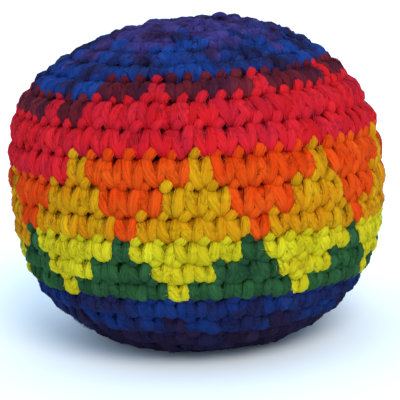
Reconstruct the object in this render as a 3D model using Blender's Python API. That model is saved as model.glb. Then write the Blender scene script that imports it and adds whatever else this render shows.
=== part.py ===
"""A crocheted footbag: a round cover of single crochet in ten yarns, filled with pellets.

The cover is worked as one rising spiral of stitches from the base to the crown, and each yarn is a piece of
its own. A yarn's stitches reach right through the cover. Where one stitch of another yarn stands in its way,
the yarn is carried behind that stitch, so that it stays in one piece round the whole bag.
Lengths are in metres, +Z is up, and the bag stands on the origin.
"""

import math

import bmesh
import bpy
import numpy as np

# The outline of the bag, over the ridges of its stitches.
WIDEST_RADIUS = 0.0285
CROWN_HEIGHT = 0.0244
BASE_DEPTH = 0.0255
FOOT_SINK = 0.0016
CROWN_SHIFT = 0.0018
SHOULDER_FULLNESS = 0.0014
OUTLINE_STEPS = 400

# How round each half of the outline is: 1 is an ellipse, and less is squarer. The fuller shoulder is widest at
# half the crown's height where its share is 1, and higher where it is more.
CROWN_ROUND_SHARE = 0.89
BASE_ROUND_SHARE = 0.816
SHOULDER_SHARE = 1.3

# The cover.
COVER_THICKNESS = 0.0026
STITCH_RELIEF = 0.0005
YARN_GAP = 0.0003
CARRY_DEPTH = 0.0015
ROUND_WAVE = 0.00095
WAVE_ROUNDS = 9.5
WAVE_TOP_ROUND = 8
ROUND_TILT = 0.0014
TILT_TURN = math.radians(-40)
ROUND_SAG = 0.0014
SAG_FROM_SHARE = 0.1

# The stitches. A leg is one arm of a stitch's V. The lean is a round's, in widths of its stitch. The stitches
# are packed closer on two sides of the bag than between them.
LEAN_SHARE = 0.25
FIRST_STITCH_TURN = math.radians(-147.4)
PACKING_TURN = math.radians(2)
LEG_ACROSS_SHARE = 0.26
LEG_UP_SHARE = 0.62
HALF_STITCHES = 120

# The filling.
PELLET_SPACING = 0.0072
PELLET_RELIEF = 0.0009
FILLING_CLEARANCE = 0.0004
PELLET_COLOUR = (0.55, 0.53, 0.48)
PELLET_ROUGH_SHARE = 0.5
YARN_ROUGH_SHARE = 0.85

# Each yarn's name, colour and letter in the chart below.
YARNS = {
    "P": ("purple_base_yarn", (0.045, 0.018, 0.040)),
    "N": ("blue_base_yarn", (0.010, 0.028, 0.190)),
    "G": ("green_yarn", (0.014, 0.110, 0.045)),
    "L": ("lemon_yarn", (0.640, 0.560, 0.012)),
    "Y": ("gold_yarn", (0.680, 0.370, 0.004)),
    "O": ("orange_yarn", (0.760, 0.065, 0.004)),
    "R": ("red_yarn", (0.560, 0.010, 0.014)),
    "M": ("maroon_yarn", (0.095, 0.012, 0.018)),
    "B": ("blue_crown_yarn", (0.012, 0.045, 0.300)),
    "V": ("purple_crown_yarn", (0.060, 0.035, 0.180)),
}

# The colour changes between rounds came later and later: this round's is the last on the first stitch, and each
# round below it keeps the colours of the one below for one stitch more.
EVEN_CHANGE_ROUND = 14
LATE_CHANGE_ROUND = 8

# One entry for each round, from the base up: how many stitches it has, the yarn of each stitch in its
# repeat, and the yarn that is carried behind every stitch that isn't its own.
CHART = (
    (15, "P", ""),
    (15, "P", ""),
    (15, "P", ""),
    (30, "P", ""),
    (30, "P", ""),
    (30, "P", ""),
    (30, "NNP", ""),
    (60, "N", ""),
    (60, "GGGGGL", "G"),
    (60, "LGGGLL", ""),
    (60, "LLGLLL", "L"),
    (60, "YYOYYY", "Y"),
    (60, "YOOOYY", ""),
    (60, "OOOOOY", "O"),
    (60, "R", ""),
    (60, "R", ""),
    (60, "MMRMMM", "M"),
    (60, "B", ""),
    (60, "BBBBBV", ""),
    (30, "BBV", ""),
    (30, "VBV", ""),
    (30, "V", ""),
    (15, "V", ""),
    (15, "V", ""),
)
ROUNDS = len(CHART)
BASE_POLE = "base pole"
CROWN_POLE = "crown pole"


def remove_startup_objects():
    for thing in list(bpy.data.objects):
        bpy.data.objects.remove(thing, do_unlink=True)


def quarter_outline(height, round_share):
    """Radius and height of a quarter of the outline, from the widest level to the pole."""
    angle = np.linspace(0, math.pi / 2, OUTLINE_STEPS)
    radius = WIDEST_RADIUS * np.clip(np.cos(angle), 0, 1) ** round_share
    return radius, height * np.sin(angle) ** round_share


def outline_table():
    """Rows of arc length, radius, height and the two parts of the outward direction, from pole to pole."""
    crown_radius, crown_height = quarter_outline(CROWN_HEIGHT, CROWN_ROUND_SHARE)
    base_radius, base_height = quarter_outline(BASE_DEPTH, BASE_ROUND_SHARE)
    radius = np.concatenate([base_radius[::-1], crown_radius[1:]])
    height = np.concatenate([-base_height[::-1], crown_height[1:]])
    arc = np.concatenate([[0], np.cumsum(np.hypot(np.diff(radius), np.diff(height)))])
    along_radius = np.gradient(radius, arc)
    along_height = np.gradient(height, arc)
    length = np.hypot(along_radius, along_height)
    return arc, radius, height, along_height / length, -along_radius / length


OUTLINE = outline_table()
OUTLINE_LENGTH = OUTLINE[0][-1]
FLOOR_HEIGHT = FOOT_SINK - BASE_DEPTH


def on_bag(arc, turn, depth):
    """The point at this arc length and angle, this far under the outline.

    The foot is pressed flat, the crown's top has slid to one side, and the shoulder on the other is fuller.
    """
    radius, height, out_radius, out_height = (np.interp(arc, OUTLINE[0], row) for row in OUTLINE[1:])
    crown_share = max(height / CROWN_HEIGHT, 0)
    side_share = ((1 - math.cos(turn)) / 2) ** 2
    bulge = SHOULDER_FULLNESS * math.sin(math.pi * min(crown_share, 1) ** SHOULDER_SHARE) ** 2 * side_share
    radius += bulge - depth * out_radius
    shift = CROWN_SHIFT * crown_share**8
    height = max(height - depth * out_height, FLOOR_HEIGHT)
    return (radius * math.cos(turn) + shift, radius * math.sin(turn), height - FLOOR_HEIGHT)


def round_start(number):
    """The arc length at which this round of the spiral begins. The poles lie half way through a round."""
    even = OUTLINE_LENGTH * (2 * number - 1) / (2 * ROUNDS)
    return even + ROUND_WAVE * math.cos(2 * math.pi * (number - WAVE_TOP_ROUND) / WAVE_ROUNDS)


def line_under(number, along):
    """The arc length of the line under a round, this share of the way along it, or of the pole that it ends on."""
    if number == 0:
        return 0
    if number == ROUNDS:
        return OUTLINE_LENGTH
    return round_start(number) + along * (round_start(number + 1) - round_start(number))


def place_in_round(number, half, up=0):
    """Arc length and angle in a round, this many half stitches along it and this share of the way up it."""
    if number == ROUNDS:
        number, half = ROUNDS - 1, HALF_STITCHES
    along = half / HALF_STITCHES
    low = line_under(number, along)
    high = line_under(number + 1, along)
    lean = 4 * math.pi * LEAN_SHARE / HALF_STITCHES * (number + up + along)
    return worked_unevenly(low + up * (high - low), FIRST_STITCH_TURN + lean - 2 * math.pi * along)


def worked_unevenly(arc, turn):
    """A place on the even spiral, moved by the stitches' packing, the crown's tilt and the rounds' sag.

    The rounds sag on two sides of the bag below the waist, and rise there in the crown.
    """
    share = arc / OUTLINE_LENGTH
    tilt = ROUND_TILT * max(-math.sin(2 * math.pi * share), 0) * math.cos(turn - TILT_TURN)
    sag = ROUND_SAG * math.sin(2 * math.pi * (share - SAG_FROM_SHARE)) * math.sin(math.pi * share)
    return arc + tilt - sag * math.cos(turn) ** 2, turn - PACKING_TURN * math.sin(2 * turn)


def stitch_width(number):
    """The width of a stitch of this round, in the finest half stitches."""
    return HALF_STITCHES // CHART[number][0]


def yarns_at(number, half):
    """The outer and the inner yarn of the stitch at this place."""
    place = half // stitch_width(number)
    if LATE_CHANGE_ROUND <= number < EVEN_CHANGE_ROUND - place:
        number -= 1
    _, repeat, carried = CHART[number]
    outer = repeat[place % len(repeat)]
    return outer, carried or outer


def corner(number, half):
    """The name of a point of the net that the stitches make. One round's end is the next round's start."""
    if number == 0:
        return BASE_POLE
    if number == ROUNDS:
        return CROWN_POLE
    return (number + 1, 0) if half == HALF_STITCHES else (number, half)


def cells_round(point):
    """The four stitches that meet at a point: below and above it, on its right and on its left."""
    number, half = point
    if half:
        return [(level, side) for level in (number - 1, number) for side in (half - 1, half)]
    last = HALF_STITCHES - 1
    lower, upper = max(number - 2, 0), number - 1
    return [(lower, last), (number - 1, 0), (upper, last), (min(number, ROUNDS - 1), 0)]


def row_of_corners(number, first, last, step):
    """The points of the net on one level, from one half stitch to another, each once."""
    found = [corner(number, half) for half in range(first, last + 1, step)]
    return list(dict.fromkeys(found))


def finest_step(number, shares):
    """The spacing of the points on the line under a round, from the finer of the rounds that it parts."""
    beside = [level for level in (number - 1, number) if 0 <= level < ROUNDS]
    return min(stitch_width(level) for level in beside) // shares


def side_of_cell(number, half):
    """The points of a stitch's right or left side, upwards. The spiral's first and last turns have one more."""
    found = [corner(number, half), corner(number + 1, half)]
    if number == 0 and half == HALF_STITCHES:
        found.insert(1, corner(1, 0))
    if number == ROUNDS - 1 and half == 0:
        found.insert(1, (ROUNDS, 0))
    return found


class YarnPiece:
    """The closed mesh of one yarn, built stitch by stitch."""

    def __init__(self, letter):
        self.letter = letter
        self.cell = (0, 0)
        self.points = []
        self.faces = []
        self.known = {}

    def owns(self, cell, layer):
        return yarns_at(*cell)[layer] == self.letter

    def joined(self, point, layers):
        """This yarn's stitches round a point that hang together with the present one, as (place, layer) pairs."""
        cells = cells_round(point)
        owned = {(spot, layer) for layer in layers for spot in range(4) if self.owns(cells[spot], layer)}
        width = stitch_width(self.cell[0])
        ours = [spot for spot, (number, half) in enumerate(cells) if (number, half // width * width) == self.cell]
        found = {pair for pair in owned if pair[0] in ours}
        waiting = list(found)
        while waiting:
            spot, layer = waiting.pop()
            beside = {(spot ^ 1, layer), (spot ^ 2, layer), (spot, 1 - layer)} & owned - found
            found |= beside
            waiting.extend(beside)
        return frozenset(found)

    def split_here(self, point):
        """Whether the yarn's outer and inner layers differ round this point."""
        if not isinstance(point, tuple):
            return False
        group = self.joined(point, (0, 1))
        return any(((spot, 0) in group) != ((spot, 1) in group) for spot in range(4))

    def add(self, name, place):
        if name not in self.known:
            self.known[name] = len(self.points)
            self.points.append(place())
        return self.known[name]

    def net_point(self, point, level):
        """The index of a point of the net at the outer, middle or inner level, drawn in from other yarns."""
        depth = (STITCH_RELIEF, CARRY_DEPTH, COVER_THICKNESS)[level]
        if not isinstance(point, tuple):
            pole_arc = OUTLINE_LENGTH if point == CROWN_POLE else 0
            return self.add((point, level), lambda: on_bag(pole_arc, 0, depth))
        group = self.joined(point, ((0,), (0, 1), (1,))[level])

        def place():
            left = sum(1 if spot & 1 else -1 for spot, _ in group)
            up = sum(1 if spot & 2 else -1 for spot, _ in group)
            inward = sum(1 if layer else -1 for _, layer in group) if level == 1 else 0
            left, up, inward = (float(np.sign(way)) * YARN_GAP / 2 for way in (left, up, inward))
            arc, turn = place_in_round(*point)
            radius = np.interp(arc, OUTLINE[0], OUTLINE[1])
            return on_bag(arc + up, turn - left / radius, depth + inward)

        return self.add((point, level, group), place)

    def leg_point(self, number, half, width, side):
        """The ridge of one leg of a stitch, on its right or its left."""
        across = LEG_ACROSS_SHARE if side == 0 else 1 - LEG_ACROSS_SHARE
        arc, turn = place_in_round(number, half + across * width, LEG_UP_SHARE)
        return self.add((number, half, side), lambda: on_bag(arc, turn, 0))

    def outer_face(self, number, half, width):
        """Two fans of triangles, each round the ridge of one leg."""
        middle = half + width // 2
        for side, (first, last) in enumerate(((half, middle), (middle, half + width))):
            below = row_of_corners(number, first, last, finest_step(number, 2))
            above = row_of_corners(number + 1, first, last, finest_step(number + 1, 2))
            right = side_of_cell(number, first)[1:-1] if side == 0 else []
            left = side_of_cell(number, last)[1:-1] if side == 1 else []
            ring = [self.net_point(point, 0) for point in below + left + above[::-1] + right[::-1]]
            leg = self.leg_point(number, half, width, side)
            for start, end in zip(ring, ring[1:] + ring[:1]):
                self.faces.append((leg, end, start))

    def level_face(self, number, half, width, level, outwards):
        """The face of a stitch at the middle or the inner level."""
        below = row_of_corners(number, half, half + width, finest_step(number, 1))
        above = row_of_corners(number + 1, half, half + width, finest_step(number + 1, 1))
        left = side_of_cell(number, half + width)[1:-1]
        right = side_of_cell(number, half)[1:-1]
        ring = [self.net_point(point, level) for point in below + left + above[::-1] + right[::-1]]
        self.faces.append(tuple(ring[::-1] if outwards else ring))

    def wall(self, outer_line, inner_line, neighbour):
        """The side of a stitch where it meets another yarn, through one layer of the cover or both."""
        bare = [layer for layer in (0, 1) if not self.owns(neighbour, layer)]
        bare = [layer for layer in bare if self.owns(self.cell, layer)]
        if not bare:
            return
        top, bottom = bare[0], bare[-1] + 1
        upper = [self.net_point(point, top) for point in (outer_line if top == 0 else inner_line)]
        lower = [self.net_point(point, bottom) for point in inner_line]
        first_side, last_side = [], []
        if len(bare) == 2:
            first_side, last_side = (
                [self.net_point(point, 1)] if self.split_here(point) else []
                for point in (inner_line[0], inner_line[-1])
            )
        self.faces.append(tuple(upper + last_side + lower[::-1] + first_side))

    def walls(self, number, half, width):
        """The walls on the four sides of a stitch. Each line runs clockwise as seen from outside."""
        end = half + width
        if number > 0:
            self.wall_row(number, half, end, number - 1, forwards=True)
        if number < ROUNDS - 1:
            self.wall_row(number + 1, half, end, number + 1, forwards=False)
        left = side_of_cell(number, end)
        left_cells = [(number + 1, 0)] if end == HALF_STITCHES else [(number, end)]
        right = side_of_cell(number, half)
        right_cells = [(number - 1, HALF_STITCHES - 1)] if half == 0 else [(number, half - 1)]
        if left_cells[0][0] < ROUNDS:
            self.wall(left, left, left_cells[0])
        if right_cells[0][0] >= 0:
            self.wall(right[::-1], right[::-1], right_cells[0])

    def wall_row(self, line, half, end, beyond, forwards):
        """The walls along a stitch's lower or upper side, one for each stitch beyond it."""
        step = min(stitch_width(beyond), end - half)
        for first in range(half, end, step):
            outer = row_of_corners(line, first, first + step, finest_step(line, 2))
            inner = row_of_corners(line, first, first + step, finest_step(line, 1))
            if not forwards:
                outer, inner = outer[::-1], inner[::-1]
            self.wall(outer, inner, (beyond, first))

    def build(self):
        for number in range(ROUNDS):
            width = stitch_width(number)
            for half in range(0, HALF_STITCHES, width):
                self.cell = (number, half)
                owned = [self.owns(self.cell, layer) for layer in (0, 1)]
                if owned[0]:
                    self.outer_face(number, half, width)
                if owned[1]:
                    self.level_face(number, half, width, 2, outwards=False)
                if owned[0] != owned[1]:
                    self.level_face(number, half, width, 1, outwards=owned[1])
                if any(owned):
                    self.walls(number, half, width)
        return self.points, self.faces


def plain_material(name, colour, rough_share):
    material = bpy.data.materials.new(name)
    material.use_nodes = True
    shader = material.node_tree.nodes["Principled BSDF"]
    shader.inputs["Base Color"].default_value = (*colour, 1)
    shader.inputs["Roughness"].default_value = rough_share
    shader.inputs["Metallic"].default_value = 0
    return material


def add_object(name, mesh, colour, rough_share):
    thing = bpy.data.objects.new(name, mesh)
    mesh.materials.append(plain_material(name, colour, rough_share))
    bpy.context.scene.collection.objects.link(thing)
    return thing


def add_yarn(letter):
    name, colour = YARNS[letter]
    points, faces = YarnPiece(letter).build()
    mesh = bpy.data.meshes.new(name)
    mesh.from_pydata(points, [], faces)
    add_object(name, mesh, colour, YARN_ROUGH_SHARE)


def spread_directions(count):
    """Directions spread evenly over a ball, along a spiral that turns by the golden angle."""
    golden = math.pi * (3 - math.sqrt(5))
    found = []
    for index in range(count):
        height = (count - 2 * index - 1) / count
        flat = math.sqrt(1 - height**2)
        found.append((flat * math.cos(golden * index), flat * math.sin(golden * index), height))
    return found


def pellet_count():
    """How many pellets lie against the cover, from the surface of a ball of the bag's inside size."""
    inside = WIDEST_RADIUS - COVER_THICKNESS
    return round(4 * math.pi * inside**2 / (PELLET_SPACING**2 * math.sqrt(3) / 2))


def add_filling():
    """The pellets as one mass, with a rounded top for each pellet that lies against the cover."""
    shape = bmesh.new()
    for direction in spread_directions(pellet_count()):
        shape.verts.new(direction)
    bmesh.ops.convex_hull(shape, input=shape.verts)
    hollows = bmesh.ops.poke(shape, faces=shape.faces)["verts"]
    shape.verts.index_update()
    deep = {vertex.index for vertex in hollows}
    for vertex in shape.verts:
        direction = vertex.co.normalized()
        arc = OUTLINE_LENGTH * (1 - math.acos(max(-1, min(1, direction.z))) / math.pi)
        turn = math.atan2(direction.y, direction.x)
        depth = COVER_THICKNESS + FILLING_CLEARANCE + (PELLET_RELIEF if vertex.index in deep else 0)
        vertex.co = on_bag(arc, turn, depth)
    bmesh.ops.recalc_face_normals(shape, faces=shape.faces)
    mesh = bpy.data.meshes.new("pellet_filling")
    shape.to_mesh(mesh)
    shape.free()
    add_object("pellet_filling", mesh, PELLET_COLOUR, PELLET_ROUGH_SHARE)


def main():
    remove_startup_objects()
    for letter in YARNS:
        add_yarn(letter)
    add_filling()


main()
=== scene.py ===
"""A crocheted footbag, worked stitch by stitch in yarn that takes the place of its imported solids.

Every stitch of the cover is four strands: the two legs of its V, the loop along its top and the post behind.
Fine hairs stand off them. The strands and hairs of one yarn make one piece, which stands for that yarn's
solid. Lengths are in metres, +Z is up.
"""

import math

import bpy
import numpy as np
from mathutils import Matrix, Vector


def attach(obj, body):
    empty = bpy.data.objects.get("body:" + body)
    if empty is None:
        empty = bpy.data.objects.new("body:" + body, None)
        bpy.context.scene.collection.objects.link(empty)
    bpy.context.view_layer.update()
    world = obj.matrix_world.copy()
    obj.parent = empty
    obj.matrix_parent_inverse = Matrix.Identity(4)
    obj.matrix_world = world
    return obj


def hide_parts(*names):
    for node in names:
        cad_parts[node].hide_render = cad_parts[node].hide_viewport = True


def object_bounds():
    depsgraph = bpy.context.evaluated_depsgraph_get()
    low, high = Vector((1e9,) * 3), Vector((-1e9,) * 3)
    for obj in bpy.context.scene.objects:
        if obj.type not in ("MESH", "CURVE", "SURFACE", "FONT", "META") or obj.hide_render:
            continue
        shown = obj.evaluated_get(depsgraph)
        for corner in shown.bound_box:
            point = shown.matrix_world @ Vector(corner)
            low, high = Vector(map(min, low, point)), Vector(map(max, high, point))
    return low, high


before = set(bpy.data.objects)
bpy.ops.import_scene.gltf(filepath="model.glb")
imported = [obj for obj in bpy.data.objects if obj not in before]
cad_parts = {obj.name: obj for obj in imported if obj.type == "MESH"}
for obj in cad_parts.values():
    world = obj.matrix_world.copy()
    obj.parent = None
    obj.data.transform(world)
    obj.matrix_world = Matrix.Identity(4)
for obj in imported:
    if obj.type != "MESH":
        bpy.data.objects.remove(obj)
SOLID_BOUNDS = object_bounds()

# The bag's outline, over the ridges of its stitches. A roundness of 1 is an ellipse, and less is squarer.
WIDEST_RADIUS = (SOLID_BOUNDS[1].y - SOLID_BOUNDS[0].y) / 2
BAG_HEIGHT = SOLID_BOUNDS[1].z - SOLID_BOUNDS[0].z
CROWN_SHARE = 0.505
CROWN_HEIGHT = CROWN_SHARE * BAG_HEIGHT
CROWN_ROUNDNESS = 0.89
WIDEST_LEVEL = BAG_HEIGHT - CROWN_HEIGHT
FOOT_SINK = 0.0016
BASE_DEPTH = WIDEST_LEVEL + FOOT_SINK
BASE_ROUNDNESS = 0.816
OUTLINE_STEPS = 400
SMALLEST_LENGTH = 1e-12

# The crown's top slides to one side, and the shoulder on the other side is fuller.
CROWN_SHIFT = 0.0018
CROWN_SHIFT_POWER = 8
SHOULDER_FULLNESS = 0.0014
SHOULDER_POWER = 1.3

# The yarn under the foot is pressed together between these two heights.
FLOOR_CLEARANCE = 0.00003
PRESSED_BELOW = 0.0006

# The cover's thickness, and how its rounds wave, tilt and sag.
COVER_THICKNESS = 0.0026
ROUND_WAVE = 0.00095
WAVE_ROUNDS = 9.5
WAVE_TOP_ROUND = 8
ROUND_TILT = 0.0014
TILT_TURN = math.radians(-40)
ROUND_SAG = 0.0014
SAG_FROM_SHARE = 0.1

# From the late round up to the even one, the first stitches of a round keep the colours of the round below,
# one stitch fewer each time.
LATE_CHANGE_ROUND = 8
EVEN_CHANGE_ROUND = 14

# Where the stitches stand. Each round leans by a share of a stitch, the stitches are packed closer on two
# sides, and the tips of their V's are shifted by a share of a stitch.
FULL_STITCHES = 60
LEAN_SHARE = 0.25
FIRST_STITCH_TURN = math.radians(-147.4)
PACKING_TURN = math.radians(2)
TIP_SHIFT_SHARE = -0.23

# The yarn. It is thinner in narrow stitches, and away from the middle round its strands spread up to a limit.
YARN_WIDTH = 0.00135
FULL_STITCH_WIDTH = 0.0030
SMALLEST_YARN_SHARE = 0.5
LARGEST_YARN_SHARE = 1.06
SPREAD_SHARE = 0.4
SPREAD_MIDDLE_ROUND = 11.5
SPREAD_ROUNDS = 5.5
SPREAD_LIMIT = 1.2
STRAND_SIDES = 8
STRAND_RINGS = 7
PLIES = 9
PLY_TWIST = 1.3

# The hairs that stand off the yarn. Their shares are of a stitch's size or of the yarn's width. They start
# between two places across and up the stitch, and their painted sheens are how light they are painted beside
# the yarn: a painted sheen of loose fibres, which the gamma also makes paler.
HAIRS_PER_STITCH = 34
HAIR_SIDES = 3
HAIR_RINGS = 5
HAIR_START_SHARES = ((-0.6, 0.1), (0.2, 0.75))
HAIR_LENGTH_SHARES = (0.15, 0.5)
HAIR_WIDTH_SHARES = np.array((0.010, 0.018, 0.017, 0.005))
HAIR_DEPTH_SHARES = np.array((0.25, -0.02, -0.10, -0.06))
HAIR_OWN_DEPTH_SHARES = (0.4, 1.6)
HAIR_GROOVE_SHARE = 0.55
HAIR_CURL = 0.7
HAIR_SPREAD = 0.9
HAIR_PAINTED_SHEENS = (0.9, 1.6)

# How unevenly the yarn was worked: how far each strand strays in the units of the tables below, how far its
# shade does, and how many times that the largest stray may be.
STRAY_SHARES = np.array((0.06, 0.055, 0.18, 0.06, 0.04))
SHADE_STRAY_SHARE = 0.045
STRAY_LIMIT = 2
SEED = 7

# Painted shade: strands are painted darker from the first to the second of these depths, where little light
# gets in. The deepening is how much the gamma of their colour rises there, a painted deeper colour that
# stands in for light bounced between the fibres.
PAINTED_SHADE_FROM_DEPTH = 0.0009
PAINTED_SHADE_TO_DEPTH = 0.0018
PAINTED_DEEP_SHADE_SHARE = 0.12
PAINTED_SHADE_DEEPENING = 0.6

# The yarn's surface: noise round and along a strand that makes its plies waver and gives it fibres, how much
# both lighten it and raise it, and the patches in its dye. The plies get painted light on their ridges and
# painted shade between them, and the fibres are lighter and darker partly in their own tone and partly as
# painted highlights.
WAVER_ROUND = 5.0
WAVER_ALONG = 2.0
WAVER_DETAIL = 1.0
WAVER_SHARE = 0.9
FIBRES_ROUND = 22.0
FIBRES_ALONG = 2.2
FIBRE_TWIST = 4.0
FIBRE_DETAIL = 3.0
FIBRE_ROUGHNESS = 0.6
PLY_PAINTED_LIGHT_SHARE = 0.08
FIBRE_TONE_AND_PAINTED_HIGHLIGHT_SHARE = 2.6
GROOVE_PAINTED_SHADE_SHARE = 0.75
RIDGE_PAINTED_LIGHT_SHARE = 0.34
PLY_RELIEF_SHARE = 0.4
FIBRE_RELIEF_SHARE = 0.9
RELIEF_STRENGTH = 0.8
RELIEF_DEPTH = 0.00015
PATCH_SCALE = 230.0
PATCH_DETAIL = 3.0
PATCH_CONTRAST = 4.0
PATCH_SHARE = 0.4
YARN_ROUGHNESS = 0.9
YARN_GLOSS = 0.04

# Each strand has a square of the map that colours are baked to. This share of it is left empty at each edge.
MAP_MARGIN_SHARE = 0.06

# The control points of a stitch's strands. Each row is the place across the stitch, to the right, and up it,
# as shares of the stitch, and then the depth under the outline and half the width and half the thickness of
# the strand, as shares of the yarn's width. The post's half width is a share of the stitch's.
LEFT_LEG_SHARES = (
    (0.02, -0.03, 1.60, 0.36, 0.32),
    (-0.13, 0.14, -0.05, 0.80, 0.42),
    (-0.60, 0.60, -0.06, 0.84, 0.42),
    (-0.72, 1.06, 1.40, 0.50, 0.36),
)
RIGHT_LEG_SHARES = (
    (0.05, -0.03, 1.60, 0.36, 0.32),
    (0.13, 0.14, -0.03, 0.76, 0.42),
    (0.12, 0.60, -0.06, 0.78, 0.42),
    (0.10, 1.06, 1.40, 0.48, 0.36),
)
TOP_LOOP_SHARES = (
    (-0.64, 0.80, 1.60, 0.46, 0.40),
    (-0.64, 1.02, 0.18, 0.66, 0.56),
    (-0.42, 1.18, 0.18, 0.66, 0.56),
    (-0.34, 1.38, 1.70, 0.46, 0.40),
)
POST_SHARES = (
    (0.05, -0.10, 2.50, 0.48, 0.42),
    (-0.10, 0.25, 0.38, 0.56, 0.42),
    (-0.22, 0.70, 0.38, 0.56, 0.42),
    (-0.30, 1.08, 2.50, 0.48, 0.42),
)
CONTROLS = len(POST_SHARES)

# One entry for each round, from the base up: how many stitches it has, and the yarn of each in its repeat.
CHART = (
    (5, "P"),
    (9, "P"),
    (15, "P"),
    (22, "P"),
    (30, "P"),
    (40, "P"),
    (50, "NNNNP"),
    (60, "N"),
    (60, "GGGGGL"),
    (60, "LGGGLL"),
    (60, "LLGLLL"),
    (60, "YYOYYY"),
    (60, "YOOOYY"),
    (60, "OOOOOY"),
    (60, "R"),
    (60, "R"),
    (60, "MMRMMM"),
    (50, "B"),
    (50, "BBBBV"),
    (40, "BBVV"),
    (30, "VBV"),
    (22, "V"),
    (15, "V"),
    (6, "V"),
)
ROUNDS = len(CHART)

# Each yarn's letter in the chart, its solid, the colour it was dyed and the colour of its patches.
YARNS = {
    "P": ("purple_base_yarn", (0.0176, 0.0095, 0.032), (0.012, 0.011, 0.045)),
    "N": ("blue_base_yarn", (0.0075, 0.0256, 0.131), (0.014, 0.015, 0.060)),
    "G": ("green_yarn", (0.025, 0.096, 0.030), (0.015, 0.056, 0.023)),
    "L": ("lemon_yarn", (0.57, 0.505, 0.011), (0.54, 0.425, 0.008)),
    "Y": ("gold_yarn", (0.58, 0.212, 0.003), (0.56, 0.29, 0.004)),
    "O": ("orange_yarn", (0.66, 0.045, 0.003), (0.70, 0.074, 0.005)),
    "R": ("red_yarn", (0.61, 0.0115, 0.0170), (0.49, 0.011, 0.025)),
    "M": ("maroon_yarn", (0.135, 0.0125, 0.021), (0.050, 0.008, 0.020)),
    "B": ("blue_crown_yarn", (0.009, 0.038, 0.205), (0.014, 0.010, 0.036)),
    "V": ("purple_crown_yarn", (0.042, 0.033, 0.168), (0.022, 0.010, 0.038)),
}

# The knot that closes the cover, a flattened loop beside the crown's pole.
KNOT_SHIFT = 0.0026
KNOT_HALF_LENGTH = 0.0009
KNOT_BEND_SHARE = 0.7
KNOT_HEIGHT = 0.0003
KNOT_HALF_ACROSS = 0.0009
KNOT_HALF_THICKNESS = 0.0005

# The pellets against the inside of the cover. The helper direction lies along no pellet's axis. The golden
# angle is given as a share of a half turn.
PELLETS = 460
PELLET_RADIUS = 0.0017
PELLET_HALF_HEIGHT = 0.0011
PELLET_CLEARANCE = 0.0003
PELLET_SIDES = 8
PELLET_RINGS = 7
PELLET_END_LIFT = math.radians(88)
PELLET_TILT_SHARE = 0.3
HELPER_DIRECTION = (0.3, 0.5, 0.8)
GOLDEN_ANGLE_SHARE = 3 - math.sqrt(5)
PELLET_COLOUR = (0.50, 0.48, 0.42)
PALE_PELLET_COLOUR = (0.68, 0.66, 0.60)
PELLET_TINT_SCALE = 300.0
PELLET_ROUGHNESS = 0.5

# The floor and the light.
FLOOR_HALF_WIDTH = 3
FLOOR_COLOUR = (0.92, 0.97, 1.0)
LAMP_ENERGY = 1.75
LAMP_COLOUR = (1, 0.89, 0.74)
LAMP_WIDTH = math.radians(30)
LAMP_TILT = math.radians(47)
LAMP_TURN = math.radians(18)
SKY_COLOUR = (0.69, 0.88, 1.12)
SKY_STRENGTH = 1.18

# The camera, which stands in front of the bag and a little above it, and is held slightly turned.
RADII_TO_CAMERA = 7.5
CAMERA_DISTANCE = RADII_TO_CAMERA * WIDEST_RADIUS
CAMERA_ELEVATION = math.radians(10.76)
CAMERA_ROLL = math.radians(2.55)
CAMERA_LENS_MM = 125.25
AIM_RIGHT = 0.0004
AIM_DOWN = 0.00355
NEAREST_SEEN = 0.01
FURTHEST_SEEN = 20


def quarter_outline(height, roundness):
    """Radius and height of a quarter of the outline: powers of the cosine and the sine of an angle."""
    angle = np.linspace(0, math.pi / 2, OUTLINE_STEPS)
    radius = WIDEST_RADIUS * np.clip(np.cos(angle), 0, 1) ** roundness
    return radius, height * np.sin(angle) ** roundness


def outline_table():
    """Rows of arc length, radius, height and the two parts of the outward direction, from pole to pole."""
    crown_radius, crown_height = quarter_outline(CROWN_HEIGHT, CROWN_ROUNDNESS)
    base_radius, base_height = quarter_outline(BASE_DEPTH, BASE_ROUNDNESS)
    radius = np.concatenate([base_radius[::-1], crown_radius[1:]])
    height = np.concatenate([-base_height[::-1], crown_height[1:]])
    arc = np.concatenate([[0], np.cumsum(np.hypot(np.diff(radius), np.diff(height)))])
    along_radius = np.gradient(radius, arc)
    along_height = np.gradient(height, arc)
    length = np.hypot(along_radius, along_height)
    return arc, radius, height, along_height / length, -along_radius / length


OUTLINE = outline_table()
OUTLINE_LENGTH = OUTLINE[0][-1]


def unit(vectors):
    """Vectors divided by their lengths."""
    return vectors / np.maximum(np.linalg.norm(vectors, axis=-1, keepdims=True), SMALLEST_LENGTH)


def on_bag(arc, turn, depth):
    """Points this far under the outline at arcs and turns, and the outward directions there.

    The crown slides to one side by a power of its share of height, and the other shoulder is fuller by a
    squared sine of another power of that share.
    """
    radius, height, out_radius, out_height = (np.interp(arc, OUTLINE[0], row) for row in OUTLINE[1:])
    crown_share = np.maximum(height / CROWN_HEIGHT, 0)
    side_share = ((1 - np.cos(turn)) / 2) ** 2
    bulge = np.sin(math.pi * np.minimum(crown_share, 1) ** SHOULDER_POWER) ** 2 * side_share
    radius = radius + SHOULDER_FULLNESS * bulge
    around = np.stack([np.cos(turn), np.sin(turn), np.zeros_like(turn)], axis=-1)
    outward = out_radius[..., None] * around + out_height[..., None] * np.array((0, 0, 1))
    shifted = radius * around[..., 0] + CROWN_SHIFT * crown_share**CROWN_SHIFT_POWER
    surface = np.stack([shifted, radius * around[..., 1], height + WIDEST_LEVEL], axis=-1)
    return surface - depth[..., None] * outward, outward


def round_start(number):
    """The arc length at which a round of the spiral begins: even steps and one slow cosine."""
    even = OUTLINE_LENGTH * (2 * number - 1) / (2 * ROUNDS)
    return even + ROUND_WAVE * np.cos(2 * math.pi * (number - WAVE_TOP_ROUND) / WAVE_ROUNDS)


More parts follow.
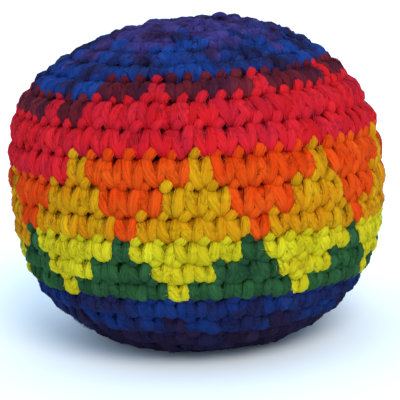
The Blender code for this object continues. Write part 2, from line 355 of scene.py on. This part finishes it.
def line_under(number, along):
    """The arc length of the line under a round, this share of the way along it, or of its pole."""
    line = round_start(number) + along * (round_start(number + 1) - round_start(number))
    return np.where(number <= 0, 0, np.where(number >= ROUNDS, OUTLINE_LENGTH, line))


def worked_unevenly(arc, turn):
    """Places on the even spiral, moved by the stitches' packing, the crown's tilt and the rounds' sag.

    The packing and the tilt are waves round the bag. The sag is a squared cosine round it, and waves up it.
    """
    share = arc / OUTLINE_LENGTH
    tilt = ROUND_TILT * np.maximum(-np.sin(2 * math.pi * share), 0) * np.cos(turn - TILT_TURN)
    sag = ROUND_SAG * np.sin(2 * math.pi * (share - SAG_FROM_SHARE)) * np.sin(math.pi * share)
    return arc + tilt - sag * np.cos(turn) ** 2, turn - PACKING_TURN * np.sin(2 * turn)


def place_in_round(number, along, up):
    """Arc length and turn at a share of the way along a round and up it. The rounds rise as one spiral."""
    low = line_under(number, along)
    high = line_under(number + 1, along)
    lean = 2 * math.pi * LEAN_SHARE / FULL_STITCHES * (number + up + along)
    arc = np.clip(low + up * (high - low), 0, OUTLINE_LENGTH)
    return worked_unevenly(arc, FIRST_STITCH_TURN + lean - 2 * math.pi * along)


def yarn_at(number, stitch):
    """The yarn of a stitch, from its round's repeat.

    Where the change is late, the first stitches take theirs from the repeat of the round below.
    """
    if LATE_CHANGE_ROUND <= number < EVEN_CHANGE_ROUND - stitch:
        number -= 1
    repeat = CHART[number][1]
    return repeat[stitch % len(repeat)]


def stitches_of(letter):
    """Rows for a yarn's stitches: the round, how far along it the middle is, and the share of the round."""
    numbers, middles, shares = [], [], []
    for number, (count, _) in enumerate(CHART):
        index = np.arange(count)
        own = np.array([yarn_at(number, stitch) == letter for stitch in index])
        numbers.append(np.full(own.sum(), number))
        middles.append((index[own] + 0.5) / count)
        shares.append(np.full(own.sum(), 1 / count))
    return np.stack([np.concatenate(rows) for rows in (numbers, middles, shares)], axis=-1)


def bezier(controls, rings):
    """Values along Bezier curves: the four control rows weighted by the cubic Bernstein shares."""
    way = np.linspace(0, 1, rings)
    weights = np.stack([(1 - way) ** 3, 3 * way * (1 - way) ** 2, 3 * way**2 * (1 - way), way**3])
    return np.einsum("scv,cr->srv", controls, weights)


def swept_ovals(middle, outward, half_wide, half_thick, sides):
    """Rings of points round curves, and how far each point rises off its curve.

    An oval is carried along each curve: half its width times the cosine of an angle, and half its thickness
    times the sine. The angle turns with the plies.
    """
    forward = unit(np.gradient(middle, axis=1))
    side = unit(np.cross(forward, outward))
    lift = np.cross(side, forward)
    corner = np.arange(sides) * 2 * math.pi / sides
    angle = corner - math.pi / 2 + (np.linspace(-0.5, 0.5, middle.shape[1]) * PLY_TWIST)[:, None]
    across = half_wide[..., None] * np.cos(angle)
    rise = half_thick[..., None] * np.sin(angle)
    rings = middle[:, :, None] + across[..., None] * side[:, :, None] + rise[..., None] * lift[:, :, None]
    return rings, rise


def pressed_flat(height):
    """Heights, those near the floor pressed together by an exponential, so that no strands share a plane."""
    room = PRESSED_BELOW - FLOOR_CLEARANCE
    fall = np.maximum(PRESSED_BELOW - height, 0)
    return np.where(fall > 0, FLOOR_CLEARANCE + room * np.exp(-fall / room), height)


def laid_tubes(stitches, controls, rings, sides, full_width=False):
    """Tubes along Bezier curves that are laid on the bag from their stitches, and each point's depth.

    The yarn's size follows its stitch's width. It spreads by the square of the rounds from the middle one.
    """
    numbers, middles, widths = stitches.T
    across, up, depth, wide, thick = np.moveaxis(bezier(controls, rings), -1, 0)
    along = middles[:, None] - (across + TIP_SHIFT_SHARE) * widths[:, None]
    arc, turn = place_in_round(numbers[:, None], along, up)
    middle_arc = place_in_round(numbers, middles, 0.5)[0]
    stitch_width = 2 * math.pi * np.interp(middle_arc, OUTLINE[0], OUTLINE[1]) * widths
    size_share = (stitch_width / FULL_STITCH_WIDTH).clip(SMALLEST_YARN_SHARE, LARGEST_YARN_SHARE)
    size = YARN_WIDTH * size_share[:, None]
    from_middle = (numbers - SPREAD_MIDDLE_ROUND) / SPREAD_ROUNDS
    spread = 1 + SPREAD_SHARE * (from_middle**2).clip(0, SPREAD_LIMIT)
    half_wide = wide * (stitch_width[:, None] if full_width else size * spread[:, None])
    middle, outward = on_bag(arc, turn, depth * YARN_WIDTH)
    points, rise = swept_ovals(middle, outward, half_wide, thick * size, sides)
    points[..., 2] = pressed_flat(points[..., 2])
    return points, depth[..., None] * YARN_WIDTH - rise


def strand_tubes(stitches, shares, draws):
    """One strand of every stitch, and its shades: a random tone, times a painted shade that falls straight to
    darker where it goes into the cover.
    """
    stray = draws.normal(size=(len(stitches), *np.shape(shares))).clip(-STRAY_LIMIT, STRAY_LIMIT)
    controls = np.array(shares) + stray * STRAY_SHARES
    points, depth = laid_tubes(stitches, controls, STRAND_RINGS, STRAND_SIDES, shares is POST_SHARES)
    # Painted shade: darker from one depth to the next, where the strand goes into the cover and little light
    # gets in.
    painted_shade_amount = ((depth - PAINTED_SHADE_FROM_DEPTH) / (PAINTED_SHADE_TO_DEPTH - PAINTED_SHADE_FROM_DEPTH)).clip(0, 1)
    shade_stray = draws.normal(size=(len(points), 1, 1)).clip(-STRAY_LIMIT, STRAY_LIMIT)
    own = 1 + SHADE_STRAY_SHARE * shade_stray
    return points, own * (1 - (1 - PAINTED_DEEP_SHADE_SHARE) * painted_shade_amount)


def hair_tubes(stitches, draws):
    """Hairs that leave the strands at random places, mostly along them, and their shades: how light each is
    painted beside its yarn, a painted sheen of loose fibres.

    A hair takes even steps, and its heading turns by the same curl at each. It lies deeper near the grooves
    between rounds, by a raised cosine.
    """
    stitches = np.repeat(stitches, HAIRS_PER_STITCH, axis=0)
    count = len(stitches)
    start = draws.uniform(*HAIR_START_SHARES, (count, 2))
    first_heading = draws.normal(math.pi / 2, HAIR_SPREAD, (count, 1))
    curl = draws.normal(0, HAIR_CURL, (count, 1))
    heading = first_heading + curl * np.arange(CONTROLS)
    step = draws.uniform(*HAIR_LENGTH_SHARES, (count, 1)) / (CONTROLS - 1)
    across = start[:, :1] + np.cumsum(step * np.cos(heading), axis=1)
    up = start[:, 1:] + np.cumsum(step * np.sin(heading), axis=1)
    depth = HAIR_DEPTH_SHARES * draws.uniform(*HAIR_OWN_DEPTH_SHARES, (count, 1))
    depth = depth + HAIR_GROOVE_SHARE * (0.5 + 0.5 * np.cos(2 * math.pi * up))
    width = np.broadcast_to(HAIR_WIDTH_SHARES, depth.shape)
    controls = np.stack([across, up, depth, width, width], axis=-1)
    points, _ = laid_tubes(stitches, controls, HAIR_RINGS, HAIR_SIDES)
    # Each hair is painted at a random lightness beside its yarn, mostly lighter: a painted sheen of loose
    # fibres.
    return points, np.broadcast_to(draws.uniform(*HAIR_PAINTED_SHEENS, (count, 1, 1)), points.shape[:3])


def knot_tube():
    """The small loop of the closing knot: an oval carried along a low Bezier arch beside the pole."""
    pole, up = on_bag(np.array([OUTLINE_LENGTH]), np.array([0.0]), np.array([0.0]))
    across = KNOT_SHIFT + KNOT_HALF_LENGTH * np.array((-1, -KNOT_BEND_SHARE, KNOT_BEND_SHARE, 1))
    height = KNOT_HEIGHT * np.array((-1, 1, 1, -1))
    controls = pole + np.stack([across, np.zeros(CONTROLS), height], axis=-1)
    middle = bezier(controls[None], STRAND_RINGS)
    half_wide = np.full(middle.shape[:2], KNOT_HALF_ACROSS)
    half_thick = np.full(middle.shape[:2], KNOT_HALF_THICKNESS)
    points, _ = swept_ovals(middle, up, half_wide, half_thick, STRAND_SIDES)
    return points, np.ones(points.shape[:3])


def tube_faces(rings, sides):
    """Point numbers of a closed tube's walls and two caps, and each corner's shares round and along the tube.

    A wall joins two neighbours on a ring to the same two on the next ring. A cap is a whole ring.
    """
    ring, side = np.meshgrid(np.arange(rings - 1), np.arange(sides), indexing="ij")
    ring = np.stack([ring, ring, ring + 1, ring + 1], axis=-1)
    side = np.stack([side, side + 1, side + 1, side], axis=-1)
    walls = ring * sides + side % sides
    wall_places = np.stack([side / sides, ring / (rings - 1)], axis=-1)
    around = np.arange(sides)
    caps = np.concatenate([around[::-1], (rings - 1) * sides + around])
    cap_sides = np.concatenate([around[::-1], around]) / sides
    cap_places = np.stack([cap_sides, np.repeat((0, 1), sides)], axis=-1)
    corners = np.concatenate([walls.reshape(-1), caps])
    places = np.concatenate([wall_places.reshape(-1, 2), cap_places])
    totals = np.concatenate([np.full((rings - 1) * sides, 4), np.full(2, sides)])
    return corners, places, totals


def tube_mesh(name, strands, hairs=None):
    """A mesh of closed tubes, with the shade of each point: its random tone, painted shade and painted sheen.

    Each argument is its tubes' points, as an array of tubes, rings, sides and places, and their shades of
    random tone, painted shade and painted sheen. The map "strand" runs round and along each tube. The map
    "OFBake" lays the strands side by side, and all the hairs in one place beside them.
    """
    points, painted_shades_sheens_and_tones, corners, totals, strand_map, cells = [], [], [], [], [], []
    first_point, first_tube = 0, 0
    for group in (strands, hairs):
        if group is None:
            continue
        tubes, rings, sides, _ = group[0].shape
        own_corners, places, own_totals = tube_faces(rings, sides)
        number = np.arange(tubes)[:, None]
        points.append(group[0].reshape(-1))
        painted_shades_sheens_and_tones.append(group[1].reshape(-1))
        corners.append((own_corners + first_point + number * rings * sides).reshape(-1))
        totals.append(np.tile(own_totals, tubes))
        along = np.stack([np.zeros(tubes), first_tube + np.arange(tubes)], axis=-1)[:, None]
        strand_map.append((places + along).reshape(-1, 2))
        cell = number if group is strands else np.full((tubes, 1), first_tube)
        cells.append((np.broadcast_to(cell, (tubes, len(places))).reshape(-1), np.tile(places, (tubes, 1))))
        first_point += tubes * rings * sides
        first_tube += tubes
    cell, places = (np.concatenate(values) for values in zip(*cells))
    columns = math.ceil(math.sqrt(cell.max() + 1))
    corner = np.stack([cell % columns, cell // columns], axis=-1)
    maps = {
        "strand": np.concatenate(strand_map),
        "OFBake": (corner + MAP_MARGIN_SHARE + (1 - 2 * MAP_MARGIN_SHARE) * places) / columns,
    }
    arrays = [np.concatenate(values) for values in (points, painted_shades_sheens_and_tones, corners, totals)]
    return filled_mesh(name, *arrays, maps)


def filled_mesh(name, points, painted_shades_sheens_and_tones, corners, totals, maps):
    """A mesh filled from whole arrays: its points and their shades of random tone, painted shade and painted
    sheen, its faces' corners and its maps.
    """
    mesh = bpy.data.meshes.new(name)
    mesh.vertices.add(len(points) // 3)
    mesh.vertices.foreach_set("co", points.astype(np.float32))
    mesh.loops.add(len(corners))
    mesh.loops.foreach_set("vertex_index", corners.astype(np.int32))
    mesh.polygons.add(len(totals))
    mesh.polygons.foreach_set("loop_start", (np.cumsum(totals) - totals).astype(np.int32))
    mesh.polygons.foreach_set("loop_total", totals.astype(np.int32))
    mesh.update(calc_edges=True)
    mesh.shade_smooth()
    # Each point's random tone, painted shade and painted sheen, which the yarn's material reads.
    mesh.attributes.new("painted_shade_sheen_and_tone", "FLOAT", "POINT").data.foreach_set("value", painted_shades_sheens_and_tones.astype(np.float32))
    for layer, values in maps.items():
        uv_map = mesh.uv_layers.new(name=layer, do_init=False)
        uv_map.uv.foreach_set("vector", values.reshape(-1).astype(np.float32))
    return mesh


class Wire:
    """A socket of a material's nodes. Sums on wires add the Math nodes that do them."""

    def __init__(self, tree, socket=None):
        self.tree = tree
        self.socket = socket

    def node(self, kind, settings, sockets, output=0):
        """One output of a new node, which gets its settings first and then its sockets' values or links."""
        made = self.tree.nodes.new(kind)
        for name, value in settings.items():
            setattr(made, name, value)
        for name, value in sockets.items():
            if isinstance(value, Wire):
                self.tree.links.new(value.socket, made.inputs[name])
            else:
                made.inputs[name].default_value = value
        return Wire(self.tree, made.outputs[output])

    def sum(self, operation, first, second=0.0):
        """The output of a new Math node."""
        return self.node("ShaderNodeMath", {"operation": operation}, {0: first, 1: second})

    def mix(self, factor, first, second):
        """A mix of two colours. They are sockets 6 and 7 of the Mix node, and output 2 is their mix."""
        sockets = {0: factor, 6: (*first, 1), 7: (*second, 1)}
        return self.node("ShaderNodeMix", {"data_type": "RGBA", "clamp_factor": True}, sockets, output=2)

    def __add__(self, other):
        return self.sum("ADD", self, other)

    def __sub__(self, other):
        return self.sum("SUBTRACT", self, other)

    def __rsub__(self, other):
        return self.sum("SUBTRACT", other, self)

    def __mul__(self, other):
        return self.sum("MULTIPLY", self, other)

    __radd__ = __add__
    __rmul__ = __mul__


def new_material(name):
    """A new material, its shader, and a wire from which its nodes are made."""
    material = bpy.data.materials.new(name)
    material.use_nodes = True
    return material, material.node_tree.nodes["Principled BSDF"], Wire(material.node_tree)


def connect(wire, shader, name):
    """Feeds one of a shader's sockets from a wire."""
    wire.tree.links.new(wire.socket, shader.inputs[name])


def strand_noise(across, along, sockets):
    """Noise at a place on a strand's map, which two wires give."""
    place = across.node("ShaderNodeCombineXYZ", {}, {0: across, 1: along, 2: 0.0})
    return place.node("ShaderNodeTexNoise", {}, {"Vector": place, "Scale": 1.0, **sockets})


def yarn_material(name, dye, patch_dye):
    """Soft matt yarn, with painted light on its plies and painted shade between them, fibres lighter in their
    own tone and in painted highlights, and patchy in its dye.

    The plies are a wavering cosine round the strand. Where the strand's painted shade falls, its colour is
    darker by that shade and deeper by a gamma, and where a hair's painted sheen is, the same gamma makes it
    lighter and paler.
    """
    material, shader, start = new_material(name)
    strand = start.node("ShaderNodeUVMap", {"uv_map": "strand"}, {})
    around = start.node("ShaderNodeSeparateXYZ", {}, {0: strand}, "X")
    along = start.node("ShaderNodeSeparateXYZ", {}, {0: strand}, "Y")
    waver = strand_noise(around * WAVER_ROUND, along * WAVER_ALONG, {"Detail": WAVER_DETAIL})
    ply = start.sum("COSINE", (around * PLIES + waver * WAVER_SHARE) * (2 * math.pi))
    twisted = around * FIBRES_ROUND + along * FIBRE_TWIST
    fineness = {"Detail": FIBRE_DETAIL, "Roughness": FIBRE_ROUGHNESS}
    fibre = strand_noise(twisted, along * FIBRES_ALONG, fineness)
    # Painted light on the ply ridges and painted shade between them; the fibres add their own random tone and
    # painted highlights.
    ridge = 0.5 + ply * PLY_PAINTED_LIGHT_SHARE + (fibre - 0.5) * FIBRE_TONE_AND_PAINTED_HIGHLIGHT_SHARE
    painted_ply_light_and_fibre_tone = start.node("ShaderNodeClamp", {}, {"Value": ridge})
    place = start.node("ShaderNodeTexCoord", {}, {}, "Object")
    patch_sockets = {"Vector": place, "Scale": PATCH_SCALE, "Detail": PATCH_DETAIL}
    patches = start.node("ShaderNodeTexNoise", {}, patch_sockets)
    dyed = start.mix((patches - 0.5) * PATCH_CONTRAST + PATCH_SHARE, dye, patch_dye)
    # Each point's random tone, painted shade where the strand goes deep, and painted sheen on the hairs.
    painted_shade_sheen_and_tone = start.node("ShaderNodeAttribute", {"attribute_name": "painted_shade_sheen_and_tone"}, {}, "Fac")
    # A painted deeper colour in the painted shade, for light bounced between fibres, and a paler one in the
    # hairs' painted sheen.
    painted_gamma_colour = start.node("ShaderNodeGamma", {}, {"Color": dyed, "Gamma": 1 + (1 - painted_shade_sheen_and_tone) * PAINTED_SHADE_DEEPENING})
    painted_light_and_tone = painted_shade_sheen_and_tone * (GROOVE_PAINTED_SHADE_SHARE + painted_ply_light_and_fibre_tone * RIDGE_PAINTED_LIGHT_SHARE)
    shaded = start.node("ShaderNodeVectorMath", {"operation": "SCALE"}, {0: painted_gamma_colour, 3: painted_light_and_tone})
    connect(shaded, shader, "Base Color")
    height = ply * PLY_RELIEF_SHARE + fibre * FIBRE_RELIEF_SHARE
    relief = {"Height": height, "Strength": RELIEF_STRENGTH, "Distance": RELIEF_DEPTH}
    connect(start.node("ShaderNodeBump", {}, relief), shader, "Normal")
    shader.inputs["Roughness"].default_value = YARN_ROUGHNESS
    shader.inputs["Specular IOR Level"].default_value = YARN_GLOSS
    return material


def add_piece(name, mesh, material, node):
    """A piece that rides on the bag's one body and stands for a node."""
    piece = bpy.data.objects.new(name, mesh)
    mesh.materials.append(material)
    bpy.context.scene.collection.objects.link(piece)
    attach(piece, "root")
    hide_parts(node)


def add_yarn(letter, draws):
    """All the strands and hairs of a yarn as one piece. The last round has the closing knot and no loops."""
    node, dye, patch_dye = YARNS[letter]
    stitches = stitches_of(letter)
    below_last = stitches[stitches[:, 0] < ROUNDS - 1]
    legs_and_post = (LEFT_LEG_SHARES, RIGHT_LEG_SHARES, POST_SHARES)
    groups = [strand_tubes(stitches, shares, draws) for shares in legs_and_post]
    groups.append(strand_tubes(below_last, TOP_LOOP_SHARES, draws))
    if len(below_last) < len(stitches):
        groups.append(knot_tube())
    strands = [np.concatenate(parts) for parts in zip(*groups)]
    mesh = tube_mesh(node + "_stitches", strands, hair_tubes(stitches, draws))
    add_piece(node + "_stitches", mesh, yarn_material(node, dye, patch_dye), node)


def pellet_material():
    """Dull plastic of a slightly uneven pale colour."""
    material, shader, start = new_material("pellets")
    place = start.node("ShaderNodeTexCoord", {}, {}, "Object")
    noise = start.node("ShaderNodeTexNoise", {}, {"Vector": place, "Scale": PELLET_TINT_SCALE})
    connect(start.mix(noise, PELLET_COLOUR, PALE_PELLET_COLOUR), shader, "Base Color")
    shader.inputs["Roughness"].default_value = PELLET_ROUGHNESS
    return material


def add_pellets(draws):
    """Pellets under the cover, spread evenly over it along a spiral that turns by the golden angle.

    A pellet is a squat ellipsoid: its radius times the cosine of a lift, and its half height times the sine.
    """
    index = np.arange(PELLETS)
    height = (PELLETS - 2 * index - 1) / PELLETS
    arc = OUTLINE_LENGTH * (1 - np.arccos(height) / math.pi)
    depth = np.full(PELLETS, COVER_THICKNESS + PELLET_CLEARANCE + PELLET_HALF_HEIGHT)
    middle, outward = on_bag(arc, index * math.pi * GOLDEN_ANGLE_SHARE, depth)
    axis = unit(outward + draws.normal(size=(PELLETS, 3)) * PELLET_TILT_SHARE)
    side = unit(np.cross(axis, HELPER_DIRECTION))
    other = np.cross(axis, side)
    lift = np.linspace(-1, 1, PELLET_RINGS)[None, :, None, None] * PELLET_END_LIFT
    angle = (np.arange(PELLET_SIDES) * 2 * math.pi / PELLET_SIDES)[None, None, :, None]
    flat = np.cos(angle) * side[:, None, None] + np.sin(angle) * other[:, None, None]
    points = middle[:, None, None] + PELLET_RADIUS * np.cos(lift) * flat
    points = points + PELLET_HALF_HEIGHT * np.sin(lift) * axis[:, None, None]
    mesh = tube_mesh("pellet_filling_grains", (points, np.ones(points.shape[:3])))
    add_piece("pellet_filling_grains", mesh, pellet_material(), "pellet_filling")


def add_floor():
    """A plain floor, faintly blue in the shadow and white where the light falls on it."""
    half = FLOOR_HALF_WIDTH
    corners = [(-half, -half, 0), (half, -half, 0), (half, half, 0), (-half, half, 0)]
    mesh = bpy.data.meshes.new("floor")
    mesh.from_pydata(corners, [], [(0, 1, 2, 3)])
    floor = bpy.data.objects.new("floor", mesh)
    bpy.context.scene.collection.objects.link(floor)
    material, shader, _ = new_material("floor_white")
    shader.inputs["Base Color"].default_value = (*FLOOR_COLOUR, 1)
    shader.inputs["Roughness"].default_value = 1
    shader.inputs["Specular IOR Level"].default_value = 0
    mesh.materials.append(material)


def add_lamp():
    """A broad lamp above the bag, in front and to the right."""
    lamp = bpy.data.lights.new("soft_lamp", "SUN")
    lamp.energy = LAMP_ENERGY
    lamp.color = LAMP_COLOUR
    lamp.angle = LAMP_WIDTH
    holder = bpy.data.objects.new("soft_lamp", lamp)
    holder.rotation_euler = (LAMP_TILT, 0, LAMP_TURN)
    bpy.context.scene.collection.objects.link(holder)


def add_sky():
    """A pale sky. What the camera sees of it is white."""
    world = bpy.data.worlds.new("pale_sky")
    world.use_nodes = True
    tree = world.node_tree
    start = Wire(tree)
    sky = tree.nodes["Background"]
    sky.inputs["Color"].default_value = (*SKY_COLOUR, 1)
    sky.inputs["Strength"].default_value = SKY_STRENGTH
    rays = ("Is Camera Ray", "Is Glossy Ray", "Is Transmission Ray")
    paths = [start.node("ShaderNodeLightPath", {}, {}, name) for name in rays]
    seen = start.sum("MAXIMUM", start.sum("MAXIMUM", paths[0], paths[1]), paths[2])
    white = start.node("ShaderNodeBackground", {}, {"Color": (1, 1, 1, 1), "Strength": 1.0})
    both = start.node("ShaderNodeMixShader", {}, {0: seen, 1: Wire(tree, sky.outputs[0]), 2: white})
    tree.links.new(both.socket, tree.nodes["World Output"].inputs["Surface"])
    bpy.context.scene.world = world


def add_camera():
    """The camera looks at a point a little right of and below the middle of the widest level."""
    camera = bpy.data.cameras.new("camera")
    camera.lens = CAMERA_LENS_MM
    camera.clip_start = NEAREST_SEEN
    camera.clip_end = FURTHEST_SEEN
    level_back = np.array((0, -math.cos(CAMERA_ELEVATION), math.sin(CAMERA_ELEVATION)))
    level_right = np.array((1, 0, 0))
    level_up = np.cross(level_back, level_right)
    right = math.cos(CAMERA_ROLL) * level_right - math.sin(CAMERA_ROLL) * level_up
    up = math.sin(CAMERA_ROLL) * level_right + math.cos(CAMERA_ROLL) * level_up
    middle = np.array((0, 0, WIDEST_LEVEL))
    place = middle + CAMERA_DISTANCE * level_back
    back = unit(place - (middle + AIM_RIGHT * right - AIM_DOWN * up))
    right = unit(np.cross(up, back))
    up = np.cross(back, right)
    holder = bpy.data.objects.new("camera", camera)
    holder.matrix_world = Matrix([*zip(right, up, back, place), (0, 0, 0, 1)])
    bpy.context.scene.collection.objects.link(holder)
    bpy.context.scene.camera = holder


def main():
    """The scene. Every yarn takes its random draws from one seeded source, in the order of the table."""
    add_camera()
    add_lamp()
    add_sky()
    add_floor()
    draws = np.random.default_rng(SEED)
    for letter in YARNS:
        add_yarn(letter, draws)
    add_pellets(draws)
    bpy.context.scene.view_settings.view_transform = "Standard"


main()
